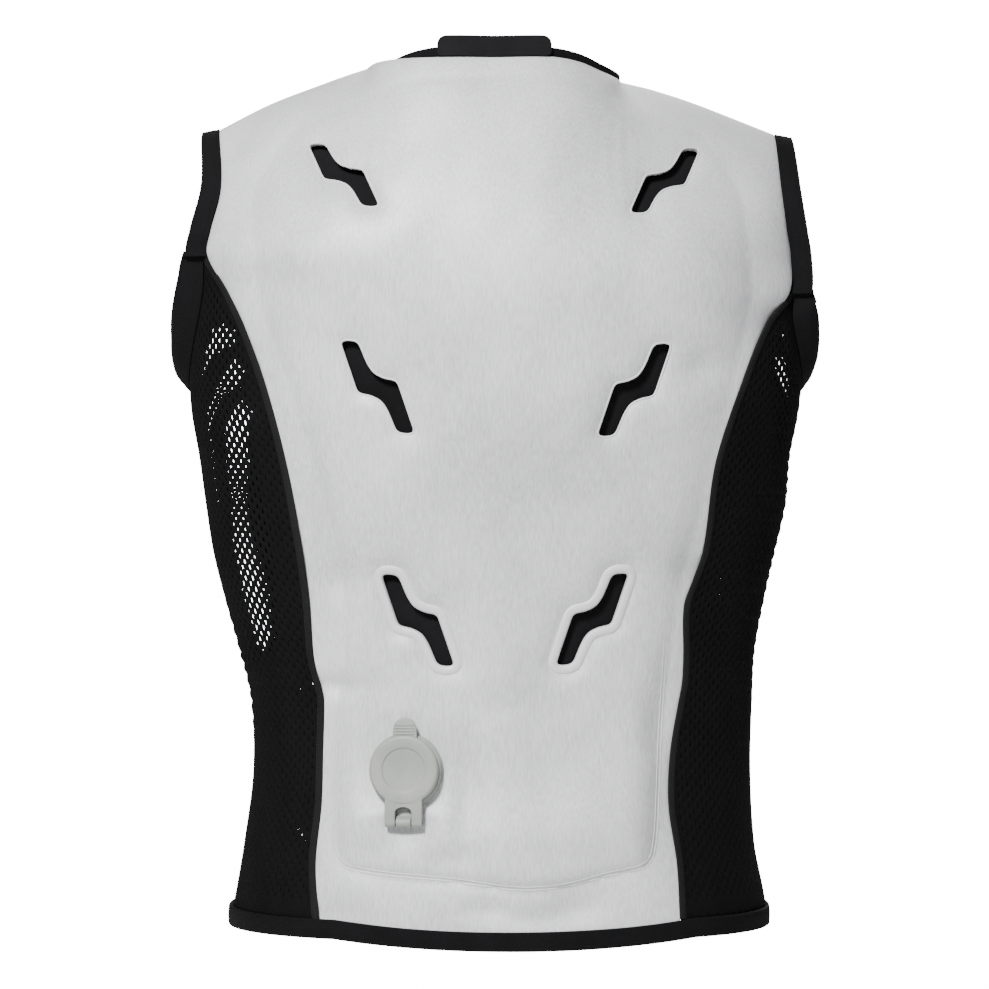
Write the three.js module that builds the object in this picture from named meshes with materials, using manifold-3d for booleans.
// A water cooling vest for work, in the form that it has when it is worn.
// Millimetres, +Z up. The back faces -Y, the front closure +Y, and +X is the wearer's right.
// The origin lies between the shoulders, level with the neck side of the shoulder line,
// where the wearer's shoulders carry the vest.
import * as THREE from "three";
import { mergeVertices } from "three/addons/utils/BufferGeometryUtils.js";
import Module from "manifold-3d";

const wasm = await Module();
wasm.setup();

// Driving dimensions of the body
const bodyHeight = 568; // neck side of the shoulder down to the hem at the sides
const chestWidth = 400; // across the body under the arms
const chestDepth = 232; // back to front at the chest
const sectionPower = 2.4; // 2 is an ellipse, more is squarer
const shoulderPower = 1.5; // how the back arches over to the shoulder line
const neckPower = 1.25; // and, nearly straight, up to the neck

// Walls and clearances of the cloth
const panelWall = 3; // two coated layers with the water fleece between them
const liningWall = 1.2;
const liningGap = 2; // the lining hangs this far inside the back panel
const meshWall = 2;
const bandWall = 3.4; // folded elastic band
const tabWall = 1.4;
const bandProud = 0.5; // a band stands out this far past the cloth beside it
const seamGap = 0.7; // clearance between neighbouring pieces of cloth
const layerGap = 0.5; // clearance between layers that lie on each other
const crestGap = 2.6; // between the back and the fronts along the shoulder line

// Bands and edges
const hemBandHeight = 12.4;
const hemDip = 6.3; // the hem is this much lower at its lowest point behind and in front
const hemDipHalfWidth = 115;
const hemDipMiddle = 13; // the lowest point lies this far to the right
const neckHalfWidth = 83;
const neckBackDepth = 62; // shoulder line back to the nape
const neckFrontDepth = 84;
const neckFrontDrop = 82;
const neckFallPower = 1.2; // how the rim falls towards the closure
const neckBandHeight = 6.5; // at the nape
const neckBandSideHeight = 3; // at the neck sides and along the front
const napePower = 1.6; // how soon the band narrows away from the nape
const neckBandSet = 0.3; // the neck band's face lies this far inside the rim
const throatLean = 0.35; // how far the band leans in at the front closure
const armBandWidth = 11.5; // over the shoulder
const armBandSeamWidth = 14.5; // where it meets the side seams
const armBandLowWidth = 29; // under the arm
const armBandFall = 0.2; // how far the band slopes down as it stands out at the shoulder tip
const armBandTurn = 0.7; // under 1, the band turns up sooner on its way under the arm
const armBandFlare = 0.42; // sideways lean of the band under the arm
const armBandBulge = 4.5; // roundness of the band under the arm
const tabWidth = 72;
const tabHeight = 13;
const zipWidth = 14;
const zipWall = 2.4;
const zipRidgeWidth = 5;
const zipRidgeHeight = 1.2;

// Vents and swelling of the water panel
const ventHeight = 57.5;
const ventSlant = 0.45; // sideways run of a vent for each unit of its height
const ventReach = 13; // the cloth has swollen nearly fully this far from a vent
const ventCrossing = 1.6; // the swelling grows faster across a vent than along it
const ventAlong = 0.55;
const edgeFlatness = 6; // how close to the side edges the panel stays swollen
const panelSwell = 3;

// Filler valve
const flangeRadius = 23.6;
const flangeHeight = 2.2;
const ringRadius = 22.9;
const ringHeight = 5.6; // top of the ring that the cap closes on
const mouthRadius = 11.5;
const seatDepth = 1.3; // the flange is sunk this far into the swollen cloth
const capRadius = 22;
const capHeight = 4.6;
const capGap = 0.5; // air between the ring and the closed cap
const capBevel = 1.2;
const dishRadius = 13.8;
const dishDepth = 0.9;
const plugClearance = 1;
const plugLength = 4;
const pullWidth = 14.8;
const pullLength = 11; // past the rim of the cap
const pullWall = 2.4;
const pullRidgeCount = 4;
const pullRidgePitch = 1.9;
const pullRidgeRadius = 0.55;
const legWidth = 6.6;
const legWall = 4.2;
const legSpread = 17.2; // between the middles of the two hinge legs
const hingeDrop = 33; // middle of the cap down to the hinge pin
const pinRadius = 1.2;
const pinClearance = 0.35;
const lugSideClearance = 0.5;
const hingeEyeRadius = 3.1;
const hingeHeight = 6.6; // of the pin over the seat of the flange
const lugHeight = 5;
const lugLow = 1.2; // the lug springs from the flange this high over its seat
const edgeRound = 0.6; // rounding of the moulded edges

// Cross sections from the shoulders down: half widths as shares of half the chest width,
// depths as shares of the chest depth
const sections = [
  { drop: 0.0, left: 0.99, right: 1.0, back: 0.5, front: 0.43 },
  { drop: 0.231, left: 0.99, right: 1.005, back: 0.505, front: 0.45 },
  { drop: 0.335, left: 1.005, right: 1.015, back: 0.5, front: 0.49 },
  { drop: 0.405, left: 0.998, right: 1.002, back: 0.49, front: 0.51 },
  { drop: 0.46, left: 0.972, right: 0.972, back: 0.475, front: 0.505 },
  { drop: 0.516, left: 0.95, right: 0.958, back: 0.46, front: 0.49 },
  { drop: 0.572, left: 0.925, right: 0.922, back: 0.445, front: 0.475 },
  { drop: 0.628, left: 0.885, right: 0.886, back: 0.43, front: 0.46 },
  { drop: 0.684, left: 0.84, right: 0.857, back: 0.42, front: 0.45 },
  { drop: 0.74, left: 0.802, right: 0.848, back: 0.415, front: 0.445 },
  { drop: 0.823, left: 0.794, right: 0.842, back: 0.425, front: 0.445 },
  { drop: 0.907, left: 0.824, right: 0.855, back: 0.45, front: 0.45 },
  { drop: 0.962, left: 0.85, right: 0.885, back: 0.475, front: 0.46 },
  { drop: 1.0, left: 0.872, right: 0.902, back: 0.485, front: 0.465 },
];

// Side edges of the silver panels: the armhole above the underarm point, the seam to the mesh
// below it, as shares of half the chest width
const panelEdges = [
  { drop: 0.085, left: 0.905, right: 0.922 },
  { drop: 0.151, left: 0.885, right: 0.932 },
  { drop: 0.206, left: 0.916, right: 0.949 },
  { drop: 0.234, left: 0.924, right: 0.959 },
  { drop: 0.276, left: 0.856, right: 0.951 },
  { drop: 0.313, left: 0.803, right: 0.87 },
  { drop: 0.385, left: 0.727, right: 0.784 },
  { drop: 0.47, left: 0.663, right: 0.705 },
  { drop: 0.567, left: 0.613, right: 0.667 },
  { drop: 0.6, left: 0.6, right: 0.635 },
  { drop: 0.63, left: 0.59, right: 0.606 },
  { drop: 0.683, left: 0.58, right: 0.605 },
  { drop: 0.701, left: 0.571, right: 0.604 },
  { drop: 0.719, left: 0.557, right: 0.6 },
  { drop: 0.737, left: 0.546, right: 0.59 },
  { drop: 0.794, left: 0.549, right: 0.562 },
  { drop: 0.852, left: 0.553, right: 0.556 },
  { drop: 0.917, left: 0.571, right: 0.582 },
  { drop: 0.977, left: 0.56, right: 0.59 },
];

// Height of the shoulder line and the nape, from tip to tip
const shoulderLine = [
  { across: -1.0, drop: 0.081 },
  { across: -0.82, drop: 0.052 },
  { across: -0.65, drop: 0.031 },
  { across: -0.49, drop: 0.013 },
  { across: -0.42, drop: 0.008 },
  { across: -0.2, drop: 0.009 },
  { across: 0.0, drop: 0.01 },
  { across: 0.2, drop: 0.0085 },
  { across: 0.3, drop: 0.0125 },
  { across: 0.38, drop: 0.0205 },
  { across: 0.47, drop: 0.0275 },
  { across: 0.56, drop: 0.0345 },
  { across: 0.7, drop: 0.049 },
  { across: 0.86, drop: 0.069 },
  { across: 1.0, drop: 0.087 },
];

// Underarm points, where the armhole meets the side seam, and the lowest point of the armholes
const underarm = { left: 0.234, right: 0.276 };
const armholeLow = 0.386;
const armholePower = 0.85; // under 1, the armhole climbs sooner on its way to the seams

// Half of a vent's slanted outline, as shares of its height; the other half is this half
// turned round the middle
const ventHalf = [
  { across: -0.4, up: 0.49 },
  { across: -0.33, up: 0.51 },
  { across: -0.215, up: 0.49 },
  { across: -0.115, up: 0.25 },
  { across: -0.045, up: 0.145 },
  { across: 0.07, up: 0.088 },
  { across: 0.18, up: 0.068 },
  { across: 0.22, up: 0.04 },
];

// The six vents: the highest pair looks shorter because the back leans forward there
const vents = [
  { across: -0.48, drop: 0.147, tall: 0.74, turn: 1 },
  { across: 0.545, drop: 0.152, tall: 0.77, turn: -1 },
  { across: -0.368, drop: 0.386, tall: 1, turn: 1 },
  { across: 0.44, drop: 0.389, tall: 1, turn: -1 },
  { across: -0.243, drop: 0.645, tall: 1, turn: 1 },
  { across: 0.31, drop: 0.644, tall: 1, turn: -1 },
];

// Middle of the valve on the back
const valvePlace = { across: -0.2795, drop: 0.8115 };

// Reads a column of a table as a smooth curve, level with its end rows beyond them
function curveOf(table, from, to) {
  return (at) => {
    const last = table.length - 1;
    if (at <= table[0][from]) return table[0][to];
    if (at >= table[last][from]) return table[last][to];
    const i = table.findIndex((row) => row[from] > at) - 1;
    const [a, b] = [table[i], table[i + 1]];
    const before = table[Math.max(i - 1, 0)];
    const after = table[Math.min(i + 2, last)];
    const step = b[from] - a[from];
    const t = (at - a[from]) / step;
    const slopeA = ((b[to] - before[to]) / (b[from] - before[from])) * step;
    const slopeB = ((after[to] - a[to]) / (after[from] - a[from])) * step;
    const rise = b[to] - a[to];
    const bend = 3 * rise - 2 * slopeA - slopeB;
    return a[to] + t * (slopeA + t * (bend + t * (slopeA + slopeB - 2 * rise)));
  };
}

const halfChest = chestWidth / 2;
const sideName = (side) => (side < 0 ? "left" : "right");
const byDrop = (table, first, second) => ({
  [first]: curveOf(table, "drop", first),
  [second]: curveOf(table, "drop", second),
});
const halfWidthCurve = byDrop(sections, "left", "right");
const depthCurve = byDrop(sections, "back", "front");
const edgeCurve = byDrop(panelEdges, "left", "right");
const shoulderCurve = curveOf(shoulderLine, "across", "drop");

const halfWidth = (side, z) => halfChest * halfWidthCurve[sideName(side)](-z / bodyHeight);
const depth = (face, z) => chestDepth * depthCurve[face < 0 ? "back" : "front"](-z / bodyHeight);
const edgeX = (side, z) => halfChest * edgeCurve[sideName(side)](-z / bodyHeight);
const underarmZ = (side) => -bodyHeight * underarm[sideName(side)];
const armholeLowZ = -bodyHeight * armholeLow;
const smooth = (t) => t * t * (3 - 2 * t);
const mix = (a, b, t) => a + (b - a) * t;
const clamp01 = (t) => Math.min(Math.max(t, 0), 1);

// Distance of the body's surface from the plane of the shoulders; face is -1 behind, +1 in front
function bodyY(face, x, z) {
  const share = Math.min(Math.abs(x) / halfWidth(Math.sign(x) || 1, z), 1);
  return face * depth(face, z) * (1 - share ** sectionPower) ** (1 / sectionPower);
}

// Top of the hem band, lowest near the middle of the back and front
function hemTopZ(x) {
  const share = clamp01(Math.abs(x - hemDipMiddle) / hemDipHalfWidth);
  return -bodyHeight + hemBandHeight - hemDip * (1 - share ** 2);
}

// The neck opening in plan, and its height: level behind, dropping towards the front closure
function neckRim(face, x) {
  const share = Math.min(Math.abs(x) / neckHalfWidth, 1);
  const reach = Math.sqrt(1 - share * share);
  const y = face < 0 ? -neckBackDepth * reach : neckFrontDepth * reach;
  const fall = face < 0 ? 0 : neckFrontDrop * reach ** neckFallPower;
  return { y, fall, reach };
}

// How far the shoulder tips stand from the middle
const tipX = (side) => edgeX(side, -bodyHeight * shoulderCurve(side));

// A point on the back or front: across runs from -1 to 1 between the panel's side edges, up from
// 0 at the hem to 1 at the underarm's height, and on to 2 at the shoulder line or the neck
function panelPoint(face, across, up, inset = 0) {
  const topX = across < 0 ? across * tipX(-1) : across * tipX(1);
  const rim = neckRim(face, topX);
  const inNeck = Math.abs(topX) < neckHalfWidth;
  const lineZ = -bodyHeight * shoulderCurve(across);
  const topZ = lineZ - (inNeck ? rim.fall : 0) - inset;
  const topY = (inNeck ? rim.y : 0) + face * (crestGap / 2 + inset);
  const chestZ = mix(underarmZ(-1), underarmZ(1), (across + 1) / 2);
  const side = across < 0 ? -1 : 1;
  const sideChestZ = underarmZ(side);
  const sideTopZ = -bodyHeight * shoulderCurve(side);
  const turn = (clamp01(up - 1) * Math.PI) / 2;
  const power = mix(shoulderPower, neckPower, inNeck ? rim.reach ** 2 : 0);
  const rise = Math.sin(turn) ** (2 / power);
  const lean = Math.cos(turn) ** (2 / power);
  const hemZ = hemTopZ(across * edgeX(side, -bodyHeight)) + inset + seamGap;
  const low = clamp01(up);
  const edgeZ = up <= 1 ? mix(hemZ, sideChestZ, low) : mix(sideChestZ, sideTopZ, rise);
  const x = across * (edgeX(side, edgeZ) - seamGap / 2 - inset);
  const z = up <= 1 ? mix(hemZ, chestZ, low) : mix(chestZ, topZ, rise);
  const y = topY + (bodyY(face, x, Math.min(z, chestZ)) - topY) * (up <= 1 ? 1 : lean);
  return new THREE.Vector3(x, up <= 1 ? bodyY(face, x, z) : y, z);
}

// How far the water swells the back: nothing at the vents and the edges, fully a little away
function swell(point, across) {
  let nearest = Infinity;
  for (const vent of vents) {
    const dx = point.x - vent.across * halfChest;
    const dz = point.z + vent.drop * bodyHeight;
    const slant = dx + vent.turn * ventSlant * dz;
    nearest = Math.min(nearest, Math.hypot(slant * ventCrossing, dz * ventAlong));
  }
  const fromVent = 1 - Math.exp(-Math.max(nearest - ventReach / 2, 0) / ventReach);
  const fromEdge = 1 - Math.abs(across) ** edgeFlatness;
  return panelSwell * fromVent * fromEdge;
}

// Manifold solids and back
function toSolid(geometry) {
  const plain = geometry.clone();
  plain.deleteAttribute("normal");
  plain.deleteAttribute("uv");
  const merged = mergeVertices(plain, 1e-3);
  return new wasm.Manifold(
    new wasm.Mesh({
      numProp: 3,
      vertProperties: new Float32Array(merged.attributes.position.array),
      triVerts: new Uint32Array(merged.index.array),
    }),
  );
}

function toGeometry(solid) {
  const mesh = solid.getMesh();
  const geometry = new THREE.BufferGeometry();
  geometry.setAttribute("position", new THREE.BufferAttribute(mesh.vertProperties, 3));
  geometry.setIndex(new THREE.BufferAttribute(mesh.triVerts, 1));
  geometry.computeVertexNormals();
  return geometry;
}

// A cloth wall on a grid of points: columns run anticlockwise seen from above, rows upwards.
// The wall lies between two depths under the grid; ring joins the last column to the first.
function clothWall(rows, outer, inner, ring = false) {
  const count = rows[0].length;
  const at = (r, c) => rows[Math.min(Math.max(r, 0), rows.length - 1)][
    ring ? (c + count) % count : Math.min(Math.max(c, 0), count - 1)
  ];
  const positions = [];
  for (const offset of [outer, inner]) {
    rows.forEach((row, r) =>
      row.forEach((point, c) => {
        const along = at(r, c + 1).clone().sub(at(r, c - 1));
        const upward = at(r + 1, c).clone().sub(at(r - 1, c));
        const normal = along.cross(upward).normalize();
        const p = point.clone().addScaledVector(normal, -offset);
        positions.push(p.x, p.y, p.z);
      }),
    );
  }
  const layer = rows.length * count;
  const index = [];
  const quad = (a, b, c, d) => index.push(a, b, c, a, c, d);
  const columns = ring ? count : count - 1;
  for (let r = 0; r < rows.length - 1; r++) {
    for (let c = 0; c < columns; c++) {
      const a = r * count + c;
      const b = r * count + ((c + 1) % count);
      quad(a, b, b + count, a + count);
      quad(layer + b, layer + a, layer + a + count, layer + b + count);
    }
  }
  const top = (rows.length - 1) * count;
  for (let c = 0; c < columns; c++) {
    const d = (c + 1) % count;
    quad(d, c, layer + c, layer + d);
    quad(top + c, top + d, layer + top + d, layer + top + c);
  }
  if (!ring) {
    for (let r = 0; r < rows.length - 1; r++) {
      const a = r * count;
      const e = a + count - 1;
      quad(a, a + count, layer + a + count, layer + a);
      quad(e + count, e, layer + e, layer + e + count);
    }
  }
  const geometry = new THREE.BufferGeometry();
  geometry.setAttribute("position", new THREE.Float32BufferAttribute(positions, 3));
  geometry.setIndex(index);
  geometry.computeVertexNormals();
  return geometry;
}

// Colours and finishes
const silver = new THREE.MeshStandardMaterial({ color: 0xd2d2d6, roughness: 0.7, metalness: 0.1 });
const black = new THREE.MeshStandardMaterial({ color: 0x141416, roughness: 0.9, metalness: 0 });
const blackMesh = new THREE.MeshStandardMaterial({ color: 0x17171a, roughness: 0.85, metalness: 0 });
const greyPlastic = new THREE.MeshStandardMaterial({ color: 0xb6bab2, roughness: 0.5, metalness: 0 });
const metal = new THREE.MeshStandardMaterial({ color: 0x9a9c9e, roughness: 0.4, metalness: 0.8 });

const vest = new THREE.Group();
function add(name, geometry, material, parent = vest) {
  const mesh = new THREE.Mesh(geometry, material);
  mesh.name = name;
  parent.add(mesh);
  return mesh;
}

// Column and row places of the panels
const evenly = (from, to, steps) => Array.from({ length: steps + 1 }, (_, i) => mix(from, to, i / steps));
const bodySteps = 18; // rows from the hem to the underarm, the same in every panel so seams meet
const shoulderSteps = 8;
const rightAngle = Math.PI / 2;
const roundSides = 36; // of the valve's round parts
const closureX = zipWidth / 2 + seamGap;
const backAngles = evenly(-rightAngle, rightAngle, 12);
const frontAngles = evenly(Math.asin(closureX / neckHalfWidth), rightAngle, 5);
const neckShare = (side) => neckHalfWidth / tipX(side);
const neckColumns = (angles) => angles.map((angle) => Math.sin(angle) * neckShare(Math.sign(angle) || 1));
const backColumns = (tipSteps, angles = backAngles) => [
  ...evenly(-1, -neckShare(-1), tipSteps).slice(0, -1),
  ...neckColumns(angles),
  ...evenly(neckShare(1), 1, tipSteps).slice(1),
];
const panelRows = (lowSteps = bodySteps, highSteps = shoulderSteps) => [
  ...evenly(0, 1, lowSteps),
  ...evenly(1, 2, highSteps).slice(1),
];

// Silver back with its six vents and the valve's seat
function ventShape(vent) {
  const size = ventHeight * vent.tall;
  const whole = [...ventHalf, ...ventHalf.map(({ across, up }) => ({ across: -across, up: -up }))];
  return new THREE.Shape(
    whole.map(({ across, up }) => new THREE.Vector2(across * vent.turn * ventHeight, up * size)),
  );
}

function ventCutter(vent) {
  const cutter = new THREE.ExtrudeGeometry(ventShape(vent), { depth: chestDepth, bevelEnabled: false });
  cutter.rotateX(Math.PI / 2);
  cutter.translate(vent.across * halfChest, 0, -vent.drop * bodyHeight);
  return toSolid(cutter);
}

const backRows = panelRows().map((up) =>
  backColumns(4).map((across) => {
    const point = panelPoint(-1, across, up);
    point.y -= swell(point, across) * (1 - clamp01(up - 1) ** 3);
    return point;
  }),
);

// The valve stands square on the back: right, up and out are its own directions there
const valveX = valvePlace.across * halfChest;
const valveZ = -valvePlace.drop * bodyHeight;
const onBack = (x, z) => new THREE.Vector3(x, bodyY(-1, x, z) - panelSwell, z);
const valveRight = onBack(valveX + flangeRadius, valveZ)
  .sub(onBack(valveX - flangeRadius, valveZ))
  .normalize();
const valveSlope = onBack(valveX, valveZ + flangeRadius)
  .sub(onBack(valveX, valveZ - flangeRadius));
const valveOut = valveRight.clone().cross(valveSlope).normalize();
const valveUp = valveOut.clone().cross(valveRight).normalize();
const valveFrame = new THREE.Matrix4().makeBasis(valveRight, valveUp, valveOut);
const valveOrigin = onBack(valveX, valveZ).addScaledVector(valveOut, -seatDepth);

let back = toSolid(clothWall(backRows, 0, panelWall));
for (const vent of vents) back = back.subtract(ventCutter(vent));
const seatRadius = flangeRadius + layerGap;
const seat = new THREE.CylinderGeometry(seatRadius, seatRadius, ringHeight, roundSides);
seat.rotateX(Math.PI / 2);
seat.translate(0, 0, ringHeight / 2 - layerGap);
const lugEnd = -hingeDrop - hingeEyeRadius;
const lugWidth = legSpread - legWidth - 2 * lugSideClearance;
const lugSeat = new THREE.BoxGeometry(lugWidth + 2 * layerGap, hingeDrop, ringHeight);
lugSeat.translate(0, lugEnd - layerGap + hingeDrop / 2, lugLow - layerGap + ringHeight / 2);
for (const cutter of [seat, lugSeat]) {
  cutter.applyMatrix4(valveFrame.clone().setPosition(valveOrigin));
  back = back.subtract(toSolid(cutter));
}
add("back_panel", toGeometry(back), silver);

// Black lining close behind the back panel
const liningInset = 5;
const liningRows = panelRows(10, 5).map((up) =>
  backColumns(3, evenly(-rightAngle, rightAngle, 6)).map((across) =>
    panelPoint(-1, across, up, liningInset),
  ),
);
const liningDepth = panelWall + liningGap;
add("back_lining", clothWall(liningRows, liningDepth, liningDepth + liningWall), black);

// Silver fronts, which leave room for the closure between them
const frontColumns = (side) => {
  const shares = [...neckColumns(frontAngles), ...evenly(neckShare(1), 1, 4).slice(1)];
  const ratio = neckShare(side) / neckShare(1);
  return shares.map((share) => side * (share <= neckShare(1) ? share * ratio : share));
};
for (const side of [-1, 1]) {
  const columns = side > 0 ? frontColumns(side).reverse() : frontColumns(side);
  const rows = panelRows().map((up) =>
    columns.map((across) => {
      const point = panelPoint(1, across, up);
      const isInner = Math.abs(across) === Math.min(...columns.map(Math.abs));
      if (isInner) point.x = side * closureX;
      return point;
    }),
  );
  add(`front_panel_${sideName(side)}`, clothWall(rows, 0, panelWall), silver);
}

// Black mesh under the arm: it runs round the side from the back's seam to the front's
function sidePoint(side, turn, z) {
  const share = Math.min((edgeX(side, z) + seamGap) / halfWidth(side, z), 1);
  const angle = turn * Math.acos(share ** (sectionPower / 2));
  const x = side * halfWidth(side, z) * Math.cos(angle) ** (2 / sectionPower);
  const y = depth(angle, z) * Math.abs(Math.sin(angle)) ** (2 / sectionPower) * Math.sign(angle);
  return new THREE.Vector3(x, y, z);
}

// Height of the armhole's edge, which is round at its lowest point
const armholeZ = (side, turn) =>
  mix(armholeLowZ, underarmZ(side), smooth(Math.abs(turn)) ** armholePower);
const meshColumns = 12;
for (const side of [-1, 1]) {
  const turns = evenly(-1, 1, meshColumns).map((t) => t * side);
  const rows = evenly(0, 1, bodySteps).map((up) =>
    turns.map((turn) => {
      const lowX = sidePoint(side, turn, -bodyHeight).x;
      const z = mix(hemTopZ(lowX) + seamGap, armholeZ(side, turn), up);
      return sidePoint(side, turn, z);
    }),
  );
  add(`side_mesh_${sideName(side)}`, clothWall(rows, 0, meshWall), blackMesh);
}

// Band round an armhole: down the front from the shoulder, round under the arm, up the back
for (const side of [-1, 1]) {
  const climb = evenly(1, 2, shoulderSteps);
  const climbWidth = (up) => mix(armBandSeamWidth, armBandWidth, up - 1);
  const shoulderEdge = (face) => (up) => ({
    edge: panelPoint(face, side, up),
    low: 0,
    width: climbWidth(up),
    fall: armBandFall * (up - 1),
  });
  const backEdge = climb.map(shoulderEdge(-1));
  const frontEdge = climb.map(shoulderEdge(1)).reverse();
  const under = evenly(1, -1, meshColumns)
    .slice(1, -1)
    .map((turn) => {
      const low = smooth(1 - Math.abs(turn));
      const width = mix(armBandSeamWidth, armBandLowWidth, low);
      return { edge: sidePoint(side, turn, armholeZ(side, turn)), low, width, fall: 0 };
    });
  const loop = [...backEdge, ...frontEdge, ...under];
  const upward = new THREE.Vector3(side * armBandFlare, 0, 1).normalize();
  const bandRow = (share) =>
    loop.map(({ edge, low, width, fall }) => {
      const direction = new THREE.Vector3(side, 0, -fall).normalize();
      direction.lerp(upward, low ** armBandTurn).normalize();
      const point = edge.clone().addScaledVector(direction, mix(seamGap * 2, width, share));
      point.x += side * armBandBulge * low * Math.sin(Math.PI * share);
      return point;
    });
  const rows = [0, 0.35, 0.7, 1].map((share) => {
    const row = bandRow(share);
    return side < 0 ? row : row.reverse();
  });
  const geometry = clothWall(rows, -bandProud, bandWall - bandProud, true);
  add(`armhole_band_${sideName(side)}`, geometry, black);
}

// Neck rim as a loop: the angle is 0 at the nape and grows towards the right of the closure
function neckEdge(angle) {
  const x = neckHalfWidth * Math.sin(angle);
  const face = Math.abs(angle) < rightAngle ? -1 : 1;
  const rim = neckRim(face, x);
  const z = -bodyHeight * shoulderCurve(x / tipX(Math.sign(x) || 1)) - rim.fall;
  return new THREE.Vector3(x, rim.y, z);
}

// Height runs square to the rim, and leans in towards the throat along the front
const angleStep = 0.05;
function neckLoop(angle, height) {
  const edge = neckEdge(angle);
  const along = neckEdge(angle + angleStep).sub(neckEdge(angle - angleStep));
  const outward = new THREE.Vector3(edge.x, edge.y, 0).normalize();
  const direction = outward.clone().cross(along).normalize();
  const frontShare = Math.max(-Math.cos(angle), 0);
  direction.addScaledVector(outward, -throatLean * frontShare).normalize();
  return edge.addScaledVector(direction, height);
}

const neckAngles = [
  ...frontAngles.slice(0, -1).map((angle) => angle - Math.PI),
  ...backAngles,
  ...frontAngles.slice(0, -1).reverse().map((angle) => Math.PI - angle),
];
const neckRows = [0, 1].map((share) =>
  neckAngles.map((angle) => {
    const napeShare = Math.max(Math.cos(angle), 0) ** napePower;
    const height = mix(neckBandSideHeight, neckBandHeight, napeShare);
    return neckLoop(angle, mix(seamGap * 1.5, height, share));
  }),
);
add("neck_band", clothWall(neckRows, neckBandSet, neckBandSet + bandWall), black);

// Woven tab over the band at the nape, left bare
const tabAngle = Math.asin(tabWidth / 2 / neckHalfWidth);
const tabInner = -bandProud - layerGap;
const tabRows = [0, 1].map((share) =>
  evenly(-tabAngle, tabAngle, 10).map((angle) => neckLoop(angle, seamGap + share * tabHeight)),
);
add("nape_tab", clothWall(tabRows, tabInner - tabWall, tabInner), black);

// Hem band, open at the front closure
function hemLoop(turn, height) {
  const side = Math.sign(turn) || 1;
  const lowest = -bodyHeight;
  const endAngle = Math.asin((closureX / halfWidth(side, lowest)) ** (sectionPower / 2));
  const angle = turn * (Math.PI - endAngle);
  const power = 2 / sectionPower;
  const x = side * halfWidth(side, lowest) * Math.abs(Math.sin(angle)) ** power;
  const face = Math.abs(angle) < Math.PI / 2 ? -1 : 1;
  const y = face * depth(face, lowest) * Math.abs(Math.cos(angle)) ** power;
  return new THREE.Vector3(x, y, hemTopZ(x) - hemBandHeight + height);
}
const hemColumns = 56;
const hemRows = [0, hemBandHeight].map((height) =>
  evenly(-1, 1, hemColumns).map((turn) => hemLoop(turn, height)),
);
add("hem_band", clothWall(hemRows, -bandProud, bandWall - bandProud), black);

// Front closure: one plain zip strip between the fronts, from the hem to the neck
const zipRidgeTop = 0.9 * zipRidgeWidth; // the ridge's flanks slope a little
const zipSection = [
  { width: zipWidth, proud: 0 },
  { width: zipRidgeWidth, proud: 0 },
  { width: zipRidgeTop, proud: 1 },
  { width: -zipRidgeTop, proud: 1 },
  { width: -zipRidgeWidth, proud: 0 },
  { width: -zipWidth, proud: 0 },
];
const zipLine = panelRows(12, 5).map((up) => panelPoint(1, 0, up));
zipLine[0].z -= hemBandHeight + seamGap;
const zipRows = zipLine.map((middle) =>
  zipSection.map(({ width, proud }) =>
    new THREE.Vector3(width / 2, middle.y + proud * zipRidgeHeight, middle.z),
  ),
);
add("front_closure", clothWall(zipRows, 0, zipWall), black);

// Filler valve, in its own frame: X to the right, Y up the back, Z out of it
const valve = new THREE.Group();
valve.applyMatrix4(valveFrame.clone().setPosition(valveOrigin));
vest.add(valve);

function turned(profile, sides) {
  const geometry = new THREE.LatheGeometry(profile.map(([r, h]) => new THREE.Vector2(r, h)), sides);
  return toSolid(geometry.rotateX(Math.PI / 2));
}
function block(width, from, to, low, high) {
  const geometry = new THREE.BoxGeometry(width, to - from, high - low);
  return toSolid(geometry.translate(0, (from + to) / 2, (low + high) / 2));
}
function crossRod(radius, length, up, out, sides = 16) {
  const geometry = new THREE.CylinderGeometry(radius, radius, length, sides);
  return toSolid(geometry.rotateZ(Math.PI / 2).translate(0, up, out));
}

const capFloor = ringHeight + capGap;
const boreRadius = pinRadius + pinClearance;

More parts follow.
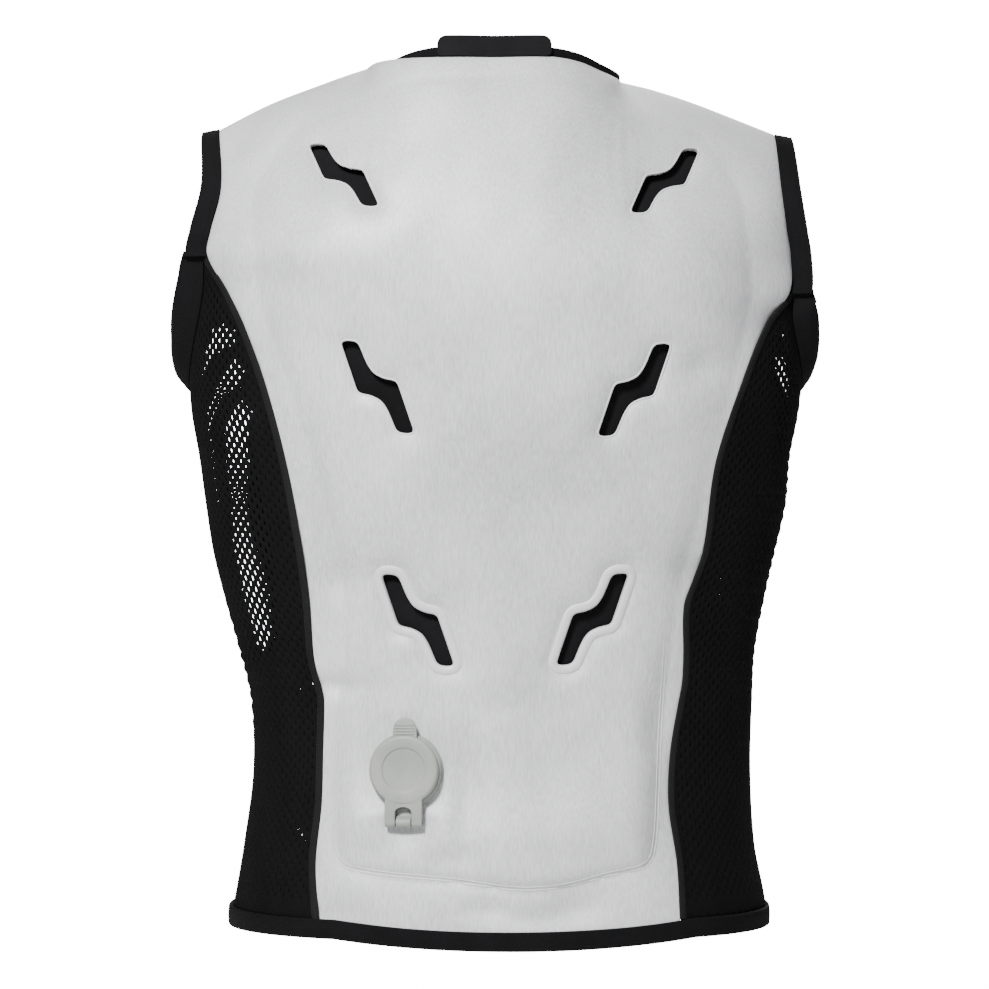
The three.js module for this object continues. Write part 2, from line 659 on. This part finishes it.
// Base: a welded flange, the ring round the mouth and the lug of the hinge
const baseRing = turned(
  [
    [mouthRadius, 0],
    [flangeRadius, 0],
    [flangeRadius, flangeHeight - edgeRound],
    [flangeRadius - edgeRound, flangeHeight],
    [ringRadius, flangeHeight],
    [ringRadius, ringHeight - edgeRound],
    [ringRadius - edgeRound, ringHeight],
    [mouthRadius, ringHeight],
    [mouthRadius, 0],
  ],
  roundSides,
);
const lug = block(lugWidth, -hingeDrop, edgeRound - ringRadius, lugLow, lugHeight)
  .add(block(lugWidth, lugEnd, hingeEyeRadius - hingeDrop, hingeHeight - hingeEyeRadius, hingeHeight))
  .add(crossRod(hingeEyeRadius, lugWidth, -hingeDrop, hingeHeight))
  .subtract(crossRod(boreRadius, chestWidth, -hingeDrop, hingeHeight));
add("valve_base", toGeometry(baseRing.add(lug)), greyPlastic, valve);

// Cap: a dished disc with its plug, the ridged pull tab above it and two legs down to the hinge
const capTop = capFloor + capHeight;
const plugRadius = mouthRadius - plugClearance;
let cap = turned(
  [
    [0, capFloor - plugLength],
    [plugRadius - edgeRound, capFloor - plugLength],
    [plugRadius, capFloor - plugLength + edgeRound],
    [plugRadius, capFloor],
    [capRadius, capFloor],
    [capRadius, capTop - capBevel],
    [capRadius - capBevel, capTop],
    [dishRadius, capTop],
    [dishRadius - dishDepth, capTop - dishDepth],
    [0, capTop - dishDepth],
  ],
  roundSides,
);
const pullEnd = capRadius + pullLength - pullWidth / 2;
const pullTip = new THREE.CylinderGeometry(pullWidth / 2, pullWidth / 2, pullWall, 24);
pullTip.rotateX(Math.PI / 2);
pullTip.translate(0, pullEnd, capFloor + pullWall / 2);
cap = cap
  .add(block(pullWidth, dishRadius + capBevel, pullEnd, capFloor, capFloor + pullWall))
  .add(toSolid(pullTip));
for (let i = 0; i < pullRidgeCount; i++) {
  const place = capRadius + pullRidgeRadius + i * pullRidgePitch;
  cap = cap.add(crossRod(pullRidgeRadius, pullWidth - 2 * edgeRound, place, capFloor + pullWall, 10));
}
for (const side of [-1, 1]) {
  const leg = block(legWidth, -hingeDrop, -dishRadius - capBevel, capFloor, capFloor + legWall)
    .add(crossRod(hingeEyeRadius, legWidth, -hingeDrop, hingeHeight))
    .translate([(side * legSpread) / 2, 0, 0]);
  cap = cap.add(leg);
}
cap = cap.subtract(crossRod(boreRadius, chestWidth, -hingeDrop, hingeHeight));
add("valve_cap", toGeometry(cap), greyPlastic, valve);

const pin = new THREE.CylinderGeometry(pinRadius, pinRadius, legSpread + legWidth - 2 * edgeRound, 12);
pin.rotateZ(Math.PI / 2);
pin.translate(0, -hingeDrop, hingeHeight);
add("hinge_pin", pin, metal, valve);

export default vest;
